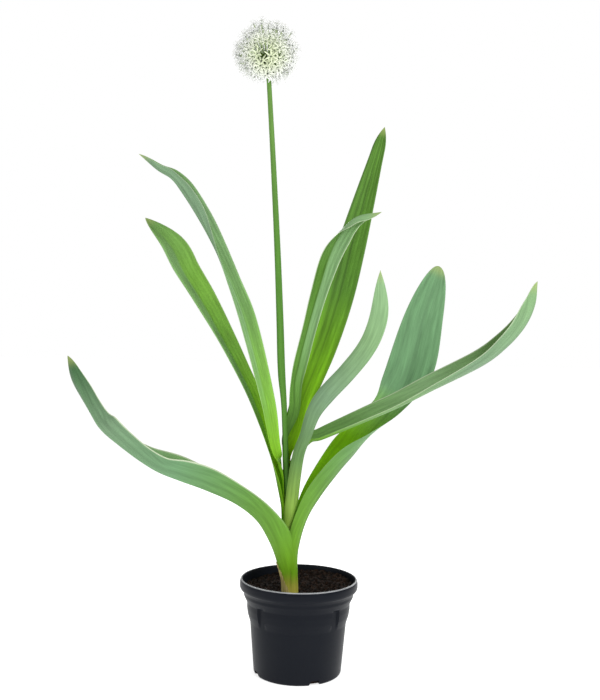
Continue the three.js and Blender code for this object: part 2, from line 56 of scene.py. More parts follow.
def finish(name, **sockets):
    """A material with one Principled shader. `sockets` are its constant inputs."""
    material = bpy.data.materials.new(name)
    material.use_nodes = True
    shader = material.node_tree.nodes["Principled BSDF"]
    for socket, value in sockets.items():
        shader.inputs[socket.replace("_", " ")].default_value = value
    return material


def soft_light(name, place, size, power, towards=(0, 0, 0.45)):
    """An area light of a given width and height that faces a point of the plant."""
    light = bpy.data.objects.new(name, bpy.data.lights.new(name, "AREA"))
    light.data.shape = "RECTANGLE"
    light.data.size, light.data.size_y = size
    light.data.energy = power
    light.location = place
    away = np.array(place) - towards
    light.rotation_euler = (np.arctan2(np.hypot(away[0], away[1]), away[2]), 0,
                            np.arctan2(away[0], -away[1]))
    bpy.context.scene.collection.objects.link(light)


soft_light("key_light", (1.2, -1.5, 1.7), (0.9, 0.9), 24)
soft_light("fill_light", (-1.9, -1.2, 0.9), (1.2, 1.2), 7)
soft_light("back_strip", (0.2, 1.7, 1.1), (1.8, 0.5), 14, (0, 0, 0.15))

ROOM_LIGHT = 0.42  # how bright the room lights the plant, where 1 is what the camera sees
world = bpy.data.worlds.new("studio")
world.use_nodes = True
nodes, links = world.node_tree.nodes, world.node_tree.links
room, seen = nodes["Background"], nodes.new("ShaderNodeBackground")
ray, choice = nodes.new("ShaderNodeLightPath"), nodes.new("ShaderNodeMixShader")
room.inputs["Color"].default_value = seen.inputs["Color"].default_value = (1, 1, 1, 1)
room.inputs["Strength"].default_value = ROOM_LIGHT
links.new(ray.outputs["Is Camera Ray"], choice.inputs["Fac"])
links.new(room.outputs["Background"], choice.inputs[1])
links.new(seen.outputs["Background"], choice.inputs[2])
links.new(choice.outputs["Shader"], nodes["World Output"].inputs["Surface"])
bpy.context.scene.world = world

FLOOR_REACH = 30
FLOOR_GLOW = 0.7
floor_mesh = bpy.data.meshes.new("floor")
floor_mesh.from_pydata(
    [(x * FLOOR_REACH, y * FLOOR_REACH, 0) for x, y in ((-1, -1), (1, -1), (1, 1), (-1, 1))],
    [], [(0, 1, 2, 3)])
white_floor = finish("white_floor", Base_Color=(0.8, 0.8, 0.8, 1), Roughness=0.9,
                     Specular_IOR_Level=0, Emission_Color=(1, 1, 1, 1),
                     Emission_Strength=FLOOR_GLOW)
floor_mesh.materials.append(white_floor)
floor = bpy.data.objects.new("floor", floor_mesh)
bpy.context.scene.collection.objects.link(floor)


# Pot
# A 17 cm nursery pot, moulded in one from black polypropylene: a tapered wall, four broad
# stacking lugs under a rolled rim band, drainage notches at the foot and a painted highlight on the
# lip.
MM = 0.001
POT_SIDES = 192
POT_OUTSIDE = [
    [0, 1.2], [40, 1.2], [43, 0], [62.6, 0], [64.3, 2.5], [70.2, 71], [70.5, 74], [74.2, 86],
    [75.5, 95], [75.5, 102.5], [78.8, 109.5], [80.4, 112.6], [80.6, 116.5], [83, 120.6],
    [85.6, 122.6], [86.6, 125.5], [86.6, 131.5], [85.9, 135.2], [84.3, 137]]
POT_INSIDE = [
    [82.7, 136.2], [81.9, 133], [80.2, 121], [76.6, 111], [71.4, 103], [68.8, 71],
    [62.9, 2.4], [0, 2.4]]
CORNER_REACH = 1.1  # how far from a corner its rounding begins
LUG_COUNT = 4
LUG_GAP = 5.5  # half the angle between two lugs, in degrees
LUG_GAP_EDGE = 1.6  # and of that, the slope at its side
LUG_FOOT = 73
LUG_TOP = 104
LUG_ROWS = (72, 108, 1.5)  # rows of points up the lugs: from, to, step
DRAFT = (70.2, 71, 0.082)  # the plain taper: a radius, its height and the slope above it
NOTCH_AZIMUTHS = (-67, 23, 113, 203)
NOTCH_HALF_WIDTH = 9.0
NOTCH_TOP_HALF_WIDTH = 6.0
NOTCH_HEIGHT = 6.5
NOTCH_REACH = (49, 76)  # from and to, outwards from the pot's axis
LIP_EDGE = (83.5, 135.3)  # the lip's painted highlight starts from this radius and height
SHARP_FROM = 32  # edges that bend by more degrees than this stay sharp


def ease(low, high, value):
    """0 below `low`, 1 above `high`, and a smooth step between them."""
    t = np.clip((value - low) / (high - low), 0, 1)
    return t * t * (3 - 2 * t)


def rounded(profile, reach, steps=4):
    """A profile with every inner corner replaced by a short quadratic curve.

    Each curve starts and ends `reach` from its corner, or at 45% of a shorter side."""
    p = np.array(profile, float)
    before, corner, after = p[:-2], p[1:-1], p[2:]

    def on_side(end):
        way = end - corner
        length = np.linalg.norm(way, axis=1, keepdims=True)
        return corner + way * np.minimum(reach / length, 0.45)

    t = np.linspace(0, 1, steps)[None, :, None]
    start, stop = on_side(before)[:, None], on_side(after)[:, None]
    curves = start * (1 - t) ** 2 + 2 * corner[:, None] * t * (1 - t) + stop * t ** 2
    return np.vstack([p[:1], curves.reshape(-1, 2), p[-1:]])


def tube_faces(count, sides):
    """Quads between `count` closed rings of `sides` points."""
    k, i = np.meshgrid(np.arange(count - 1), np.arange(sides), indexing="ij")
    a, b = k * sides + i, k * sides + (i + 1) % sides
    return [tuple(f) for f in np.stack([a, b, b + sides, a + sides], -1).reshape(-1, 4)]


def fan(start, sides, pole, turned=False):
    """Triangles from the ring of points that begins at `start` to the point `pole`."""
    i = np.arange(sides)
    j = (i + 1) % sides
    first, second = (j, i) if turned else (i, j)
    return [tuple(f) for f in np.stack([start + first, start + second, 0 * i + pole], -1)]


def piece(name, points, faces, materials, **point_values):
    """A smooth-shaded mesh object from arrays in millimetres, with named values on its points.

    A value with three numbers a point is kept as a vector, and one with four as a colour."""
    mesh = bpy.data.meshes.new(name)
    mesh.from_pydata((np.reshape(points, (-1, 3)) * MM).tolist(), [], faces)
    kinds = {3: ("FLOAT_VECTOR", "vector"), 4: ("FLOAT_COLOR", "color")}
    for value_name, values in point_values.items():
        values = np.asarray(values, np.float32).reshape(len(mesh.vertices), -1)
        kind, field = kinds[values.shape[1]]
        mesh.attributes.new(value_name, kind, "POINT").data.foreach_set(field, values.ravel())
    for material in materials:
        mesh.materials.append(material)
    mesh.shade_smooth()
    mesh.validate()
    made = bpy.data.objects.new(name, mesh)
    bpy.context.scene.collection.objects.link(made)
    return made


def lathe(profile, sides, radius_at=lambda r, z, a: r):
    """Points and faces of a turned body whose profile starts and ends on the axis.

    A point is (r cos a, r sin a, z), where r may be changed by `radius_at(r, z, a)`."""
    profile = np.asarray(profile, float)
    a = np.arange(sides) * 2 * np.pi / sides
    r, z = profile[1:-1, 0:1] + 0 * a, profile[1:-1, 1:2] + 0 * a
    r = radius_at(r, z, a + 0 * r)
    rings = np.stack([r * np.cos(a), r * np.sin(a), z], -1).reshape(-1, 3)
    poles = [[0, 0, profile[0, 1]], [0, 0, profile[-1, 1]]]
    faces = tube_faces(len(profile) - 2, sides) + fan(0, sides, len(rings), turned=True)
    faces += fan(len(rings) - sides, sides, len(rings) + 1)
    return np.vstack([rings, poles]), faces


def with_lugs(r, z, a):
    """Between two lugs the wall keeps its plain taper, radius + slope (z - height)."""
    radius, height, slope = DRAFT
    plain = radius + slope * (z - height)
    spacing = 360 / LUG_COUNT
    off = np.abs(np.degrees(a) % spacing - spacing / 2)
    gap = 1 - ease(LUG_GAP - LUG_GAP_EDGE, LUG_GAP, off)
    gap = gap * ease(LUG_FOOT - 1, LUG_FOOT + 1, z) * (1 - ease(LUG_TOP - 3, LUG_TOP + 2, z))
    return np.where(r > plain, r + (plain - r) * gap, r)


def lug_rows(p):
    """The profile with extra rows up the outside of the lugs, put between its own points."""
    r, z = p[:, 0], p[:, 1]
    outside = np.arange(len(p)) < np.argmax(z)
    low, high, step = LUG_ROWS
    low_wall, lug, rim = z < low - 0.5, (z > low - 0.5) & (z < high), z > high
    rows = np.union1d(np.arange(low, high, step), z[outside & lug])
    lugs = np.stack([np.interp(rows, z[outside], r[outside]), rows], -1)
    return np.vstack([p[outside & low_wall], lugs, p[outside & rim], p[~outside]])


pot_profile = lug_rows(rounded(POT_OUTSIDE + POT_INSIDE, CORNER_REACH))
pot_points, pot_faces = lathe(pot_profile, POT_SIDES, with_lugs)


def add_node(material, kind, inputs=(), **settings):
    """A node whose `inputs` are constants or other nodes' outputs, by socket name or number."""
    made = material.node_tree.nodes.new("ShaderNode" + kind)
    for setting, value in settings.items():
        setattr(made, setting, value)
    for socket, value in dict(inputs).items():
        if isinstance(value, bpy.types.NodeSocket):
            material.node_tree.links.new(value, made.inputs[socket])
        else:
            made.inputs[socket].default_value = value
    return made


def into_shader(material, socket, output):
    """Links a node's output to one input of the material's shader."""
    material.node_tree.links.new(output, material.node_tree.nodes["Principled BSDF"].inputs[socket])


def object_place(material):
    """Object coordinates, in metres."""
    return add_node(material, "TexCoord").outputs["Object"]


def noise(material, scale, place=None, **more):
    """A noise texture from 0 to 1, read at Object coordinates or at another `place`."""
    if place is None:
        place = object_place(material)
    return add_node(material, "TexNoise", {"Vector": place, "Scale": scale, **more}).outputs["Fac"]


def ranged(material, value, start, stop, low=0, high=1):
    """What goes from low to high, and stays there, as the value goes from start to stop."""
    return add_node(material, "MapRange", {
        "Value": value, "From Min": start, "From Max": stop,
        "To Min": low, "To Max": high}).outputs["Result"]


def product(material, first, second):
    """The first value times the second."""
    return add_node(material, "Math", {0: first, 1: second}, operation="MULTIPLY").outputs["Value"]


def blend(material, share, first, last):
    """The base colour goes from the first colour to the last as share goes from 0 to 1."""
    tint = add_node(material, "Mix", {"Factor": share, "A": (*first, 1), "B": (*last, 1)},
                    data_type="RGBA")
    into_shader(material, "Base Color", tint.outputs["Result"])


def bumpy(material, height, strength, distance):
    """The surface stands up to `distance`, in metres, higher where height is 1."""
    bump = add_node(material, "Bump", {"Height": height, "Strength": strength, "Distance": distance})
    into_shader(material, "Normal", bump.outputs["Normal"])


black_plastic = finish("black_plastic", Roughness=0.4, IOR=1.49, Specular_IOR_Level=0.1)
blend(black_plastic, noise(black_plastic, 26, Detail=5),
      (0.006, 0.0078, 0.0125), (0.009, 0.0108, 0.0155))
bumpy(black_plastic, noise(black_plastic, 900, Detail=3), 0.15, 0.0002)

# The lip's edge carries a painted highlight, brightest at the front and faintest at the back
lip_highlight = finish("painted_lip_highlight", Roughness=0.3, IOR=1.49)
depth = add_node(lip_highlight, "SeparateXYZ", {"Vector": object_place(lip_highlight)}).outputs["Y"]
highlight_share = ranged(lip_highlight, depth, -0.01, 0.05, 1.0, 0.12)
blend(lip_highlight, product(lip_highlight, highlight_share, noise(lip_highlight, 30, Detail=3)),
      (0.012, 0.014, 0.018), (0.62, 0.63, 0.66))

x, y, z = np.array([pot_points[list(face)].mean(0) for face in pot_faces]).T
on_lip = (np.hypot(x, y) > LIP_EDGE[0]) & (z > LIP_EDGE[1])
pot = piece("pot_shell", pot_points, pot_faces, [black_plastic, lip_highlight])
pot.data.polygons.foreach_set("material_index", on_lip.astype(np.int32))


def capped(count, sides):
    """Faces of `count` closed rings of `sides` points, with both ends closed."""
    last = (count - 1) * sides
    return tube_faces(count, sides) + [
        tuple(range(sides - 1, -1, -1)), tuple(range(last, last + sides))]


def joined(parts):
    """One set of points and faces out of several."""
    points, faces, start = [], [], 0
    for part_points, part_faces in parts:
        points.append(np.reshape(part_points, (-1, 3)))
        faces += [tuple(start + np.array(f)) for f in part_faces]
        start += len(points[-1])
    return np.vstack(points), faces


notch_section = [(-NOTCH_HALF_WIDTH, -1), (NOTCH_HALF_WIDTH, -1),
                 (NOTCH_TOP_HALF_WIDTH, NOTCH_HEIGHT), (-NOTCH_TOP_HALF_WIDTH, NOTCH_HEIGHT)]
notch_parts = []
for azimuth in np.radians(NOTCH_AZIMUTHS):
    out = np.array([np.cos(azimuth), np.sin(azimuth), 0])
    side = np.array([-out[1], out[0], 0])
    ends = [[out * reach + side * x + (0, 0, z) for x, z in notch_section]
            for reach in NOTCH_REACH]
    notch_parts.append((ends, capped(2, len(notch_section))))
notches = piece("notches", *joined(notch_parts), [black_plastic])

# The notches are cut out of the shell, and the result is kept as its mesh
cut = pot.modifiers.new("cut", "BOOLEAN")
cut.operation, cut.object, cut.solver = "DIFFERENCE", notches, "EXACT"
notched = pot.evaluated_get(bpy.context.evaluated_depsgraph_get())
pot.data = bpy.data.meshes.new_from_object(notched)
pot.modifiers.clear()
bpy.data.objects.remove(notches)
pot.data.shade_smooth()
pot.data.set_sharp_from_angle(angle=np.radians(SHARP_FROM))
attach(pot, "root")
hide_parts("pot")


# Peat
# Moist black peat compost that fills the pot to 14 mm below the lip and closes round the
# plant's neck, heaped a little at one side. Crumbs and red-brown fibres lie loose on top.
NECK_PLACE = np.array([-12.0, -18.0, 122.0])  # where the plant's middle line leaves the peat
NECK_LEAN = np.array([-0.053, 0.012, 1.0])  # along the neck, for each millimetre of height
PEAT_SIDES = 200
PEAT_RINGS = 70
RING_SPACING = 0.85  # below 1, the rings stand closer together towards the wall
PEAT_EDGE = 80.0
PEAT_MOUTH = 14.6
PEAT_LEVEL = 121.4
PEAT_RISE = (58, 1.8)  # from this radius outwards, the peat rises by so much to the wall
PEAT_HEAP = 7.5  # how much higher it lies at the wall on the side of HEAP_WAY
HEAP_WAY = (0.47, 0.88)
PEAT_WALL = [[79.7, 118], [76.2, 111], [71.0, 103], [68.4, 71], [62.6, 2.8], [40, 2.7]]
PEAT_CAVITY = [[12, 34.5], [26, 42], [31.8, 54], [31.8, 64], [28, 75], [21, 86], [16, 94],
               [14.8, 100], [PEAT_MOUTH, 112]]  # the room for the bulb: radius, height
SPREAD = 78.0  # crumbs and fibres lie within this radius
CRUMBS = 1500
CRUMB_SIZES = (0.5, 2.0)  # half their width, from and to, and most of them are small
FIBRES = 170
FIBRE_LENGTHS = (4, 13)
FIBRE_BEND = 0.6
FIBRE_RADIUS = 0.17


def on_neck(z):
    """Points of the neck's middle line at the heights z."""
    return NECK_PLACE + NECK_LEAN * (np.asarray(z, float)[..., None] - NECK_PLACE[2])


def roughness_of(x, y, seed, count=48, shortest=3.5, longest=26):
    """Smooth noise at the places (x, y): the sum of random plane waves, mostly within 2 of 0."""
    draw = np.random.default_rng(seed)
    length = np.exp(draw.uniform(np.log(shortest), np.log(longest), count))
    angle = draw.uniform(0, 2 * np.pi, count)
    ways = np.stack([np.cos(angle), np.sin(angle)], -1) / length[:, None] * 2 * np.pi
    total = 0 * (x + y)
    for (kx, ky), phase in zip(ways, draw.uniform(0, 2 * np.pi, count)):
        total += np.cos(kx * x + ky * y + phase)
    return total / np.sqrt(count / 2)


def peat_height(x, y):
    """The level, a rise near the wall, a heap on one side, and lumps.

    The heap is PEAT_HEAP (t / edge)^2, where t is how far (x, y) lies along its way. The
    lumps are a third as high right beside the neck."""
    away = ease(15, 24, np.hypot(x - NECK_PLACE[0], y - NECK_PLACE[1]))
    rise = PEAT_RISE[1] * ease(PEAT_RISE[0], PEAT_EDGE, np.hypot(x, y))
    lumps = roughness_of(x, y, 3) + 0.5 * roughness_of(x, y, 4, shortest=1.6, longest=4)
    heap = PEAT_HEAP * (np.maximum(x * HEAP_WAY[0] + y * HEAP_WAY[1], 0) / PEAT_EDGE) ** 2
    return PEAT_LEVEL + rise + heap + lumps * (0.35 + 0.65 * away)


a = np.arange(PEAT_SIDES) * 2 * np.pi / PEAT_SIDES
circle = np.stack([np.cos(a), np.sin(a), 0 * a], -1)
share = np.linspace(0, 1, PEAT_RINGS)[:, None, None] ** RING_SPACING
top = (1 - share) * (NECK_PLACE + PEAT_MOUTH * circle) + share * PEAT_EDGE * circle
top[..., 2] = peat_height(top[..., 0], top[..., 1])
r, z = np.array(PEAT_WALL).T[..., None, None]
wall = r * circle + z * (0, 0, 1)
r, z = np.array(PEAT_CAVITY).T
cavity = on_neck(z)[:, None] + r[:, None, None] * circle
peat_rings = np.concatenate([cavity, top, wall])
ring_points = peat_rings.size // 3
peat_points = np.vstack([peat_rings.reshape(-1, 3), on_neck(z[0]), [0, 0, PEAT_WALL[-1][1]]])
peat_faces = [f[::-1] for f in tube_faces(len(peat_rings), PEAT_SIDES)]
peat_faces += fan(0, PEAT_SIDES, ring_points)
peat_faces += fan(ring_points - PEAT_SIDES, PEAT_SIDES, ring_points + 1, turned=True)


def two_tone(material, share, low, high):
    """The base colour goes between two tones, each a position of share and a colour there."""
    ramp = add_node(material, "ValToRGB", {"Fac": share})
    for end, (position, colour) in zip(ramp.color_ramp.elements, (low, high)):
        end.position, end.color = position, (*colour, 1)
    into_shader(material, "Base Color", ramp.outputs["Color"])


peat = finish("moist_peat", Roughness=0.82, Specular_IOR_Level=0.12)
two_tone(peat, noise(peat, 210, Detail=6, Roughness=0.65),
         (0.42, (0.0016, 0.0011, 0.0008)), (0.72, (0.038, 0.017, 0.009)))
bumpy(peat, noise(peat, 1100, Detail=5, Roughness=0.7), 0.7, 0.0008)

soil = piece("peat", peat_points, peat_faces, [peat])
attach(soil, "root")
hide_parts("soil")


def turned_at_random(draw, count):
    """`count` random rotation matrices, from unit quaternions."""
    q = draw.normal(size=(4, count))
    w, x, y, z = q / np.linalg.norm(q, axis=0)
    return np.stack([
        1 - 2 * (y * y + z * z), 2 * (x * y - z * w), 2 * (x * z + y * w),
        2 * (x * y + z * w), 1 - 2 * (x * x + z * z), 2 * (y * z - x * w),
        2 * (x * z - y * w), 2 * (y * z + x * w), 1 - 2 * (x * x + y * y)], -1).reshape(count, 3, 3)


def repeated(points, faces, turns, places, sizes=1.0):
    """Copies of one small shape: each is turned, sized and put in its place."""
    copies = np.einsum("nij,pj->npi", turns, points) * np.reshape(sizes, (-1, 1, 1)) + places[:, None]
    shift = np.arange(len(places)) * len(points)
    return copies.reshape(-1, 3), [tuple(np.array(f) + s) for s in shift for f in faces]


draw = np.random.default_rng(8)
spot_r = SPREAD * np.sqrt(draw.uniform(0, 1, CRUMBS * 2))
spot_a = draw.uniform(0, 2 * np.pi, CRUMBS * 2)
spots = np.stack([spot_r * np.cos(spot_a), spot_r * np.sin(spot_a)], -1)
clear_of_neck = np.hypot(*(spots - NECK_PLACE[:2]).T) > PEAT_MOUTH + 1.5
crumb_xy = spots[clear_of_neck][:CRUMBS]
crumb_size = CRUMB_SIZES[0] + np.ptp(CRUMB_SIZES) * draw.uniform(0, 1, CRUMBS) ** 3
crumb = np.array([[1, 0, 0], [-0.9, 0.1, 0], [0, 1.1, 0.2], [0.1, -1, 0], [0.1, 0, 0.9],
                  [0, 0.2, -1]])
eight_sides = [(0, 2, 4), (2, 1, 4), (1, 3, 4), (3, 0, 4), (2, 0, 5), (1, 2, 5), (3, 1, 5),
               (0, 3, 5)]
crumb_places = np.column_stack([crumb_xy, peat_height(*crumb_xy.T) + 0.35 * crumb_size])
crumbs = piece("peat_crumbs", *repeated(
    crumb, eight_sides, turned_at_random(draw, CRUMBS), crumb_places, crumb_size), [peat])
crumbs.data.shade_flat()
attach(crumbs, "root")


def unit(vectors):
    """The same directions, each one long."""
    return vectors / np.linalg.norm(vectors, axis=-1, keepdims=True)


def rod(middle, radius, sides):
    """Rings round a middle line: a point is middle + radius (cos a across + sin a upright).

    The rings stand square to the line, and radius may be given point by point."""
    along = unit(np.gradient(middle, axis=0))
    reference = np.where(np.abs(along[:, 2:]) > 0.9, [[1.0, 0, 0]], [[0, 0, 1.0]])
    across = unit(reference - (reference * along).sum(1, keepdims=True) * along)
    upright = np.cross(along, across)
    a = np.arange(sides) * 2 * np.pi / sides
    ring = np.cos(a)[None, :, None] * across[:, None] + np.sin(a)[None, :, None] * upright[:, None]
    return middle[:, None] + ring * np.reshape(radius, (-1, 1, 1))


fibre_parts = []
fibre_xy = spots[clear_of_neck][CRUMBS:CRUMBS + FIBRES]
fibre_lengths = draw.uniform(*FIBRE_LENGTHS, FIBRES)
fibre_headings = draw.uniform(0, 2 * np.pi, FIBRES)
fibre_bends = draw.normal(0, FIBRE_BEND, FIBRES)
for (x, y), length, heading, bend in zip(fibre_xy, fibre_lengths, fibre_headings, fibre_bends):
    s = np.linspace(-0.5, 0.5, 5)
    angle = heading + bend * s * 2
    line = np.stack([x + length * s * np.cos(angle), y + length * s * np.sin(angle)], -1)
    line = line * np.minimum(1, SPREAD / np.maximum(np.hypot(*line.T), 1))[:, None]
    arch = 1.1 * np.maximum(0, np.sin((s + 0.5) * np.pi)) * abs(bend)
    height = peat_height(*line.T) + 0.5 + arch
    fibre_parts.append((rod(np.column_stack([line, height]), FIBRE_RADIUS, 3), capped(5, 3)))
peat_fibre = finish("peat_fibre", Roughness=0.8)
two_tone(peat_fibre, noise(peat_fibre, 60, Detail=2),
         (0.35, (0.016, 0.008, 0.005)), (0.7, (0.12, 0.055, 0.03)))
fibres = piece("peat_fibres", *joined(fibre_parts), [peat_fibre])
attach(fibres, "root")


# Bulb
# The bulb stands on its basal plate in the peat, in a thin papery tunic with fine ribs. The
# leaves' sheaths and the flower stem grow from its shoulder.
BULB_PROFILE = [
    [0, 36], [10, 36], [13, 40], [24, 45], [30, 54], [31, 62], [28, 73], [22, 83], [17, 91],
    [14.4, 97], [14.4, 99.7], [0, 99.7]]
BULB_RIBS = 26
RIB_DEPTH = 0.36
RIBBED = (8, 20)  # the radii over which the ribs grow to that depth
BULB_SIDES = 104
bulb_points, bulb_faces = lathe(
    rounded(BULB_PROFILE, 4), BULB_SIDES,
    lambda r, z, a: r - RIB_DEPTH / 2 * (1 + np.cos(BULB_RIBS * a)) * ease(*RIBBED, r))
lean = unit(NECK_LEAN)
east = unit(np.array([1.0, 0, 0]) - lean[0] * lean)
north = np.cross(lean, east)
bulb_points = on_neck(0.0) + bulb_points @ np.stack([east, north, lean])


def stretched(material, place, sizes):
    """`place` with each coordinate times its size, so that noise runs long where that is small."""
    return add_node(material, "Mapping", {"Vector": place, "Scale": sizes}).outputs["Vector"]


tunic = finish("bulb_tunic", Roughness=0.6)
upright = stretched(tunic, object_place(tunic), (1, 1, 0.12))
two_tone(tunic, noise(tunic, 160, upright, Detail=5),
         (0.3, (0.36, 0.22, 0.1)), (0.65, (0.72, 0.6, 0.4)))
bulb = piece("bulb_in_tunic", bulb_points, bulb_faces, [tunic])
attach(bulb, "root")
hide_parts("bulb")


# Leaves
# Eight long, fleshy, channelled leaves with pale margins and a bluish waxy bloom outside. Each
# grows from the bulb as a sheath, an arc of its own ring round the neck, and follows the
# neck's line before it bends away.
FRESH = (0.17, 0.4, 0.012)  # sheaths and the foot of a blade
LIME = (0.32, 0.52, 0.07)
LIT = (0.24, 0.53, 0.006)  # inner faces low in the plant, where light comes through the blade
GRASS = (0.13, 0.3, 0.05)
GLOSSY = (0.235, 0.5, 0.07)
DEEP = (0.088, 0.215, 0.027)
SAGE = (0.155, 0.315, 0.15)
DARK_SAGE = (0.035, 0.115, 0.035)
DUSKY = (0.12, 0.24, 0.07)
WAXY = (0.18, 0.3, 0.17)
MEADOW = (0.17, 0.34, 0.1)
PALE = (0.235, 0.405, 0.185)
PALEST = (0.29, 0.49, 0.245)
NECK_GREEN = (0.15, 0.34, 0.004)
NECK_TAN = (0.6, 0.5, 0.09)
MARGIN_PALE = (0.62, 0.7, 0.5)
TIP_YELLOW = (0.4, 0.47, 0.16)
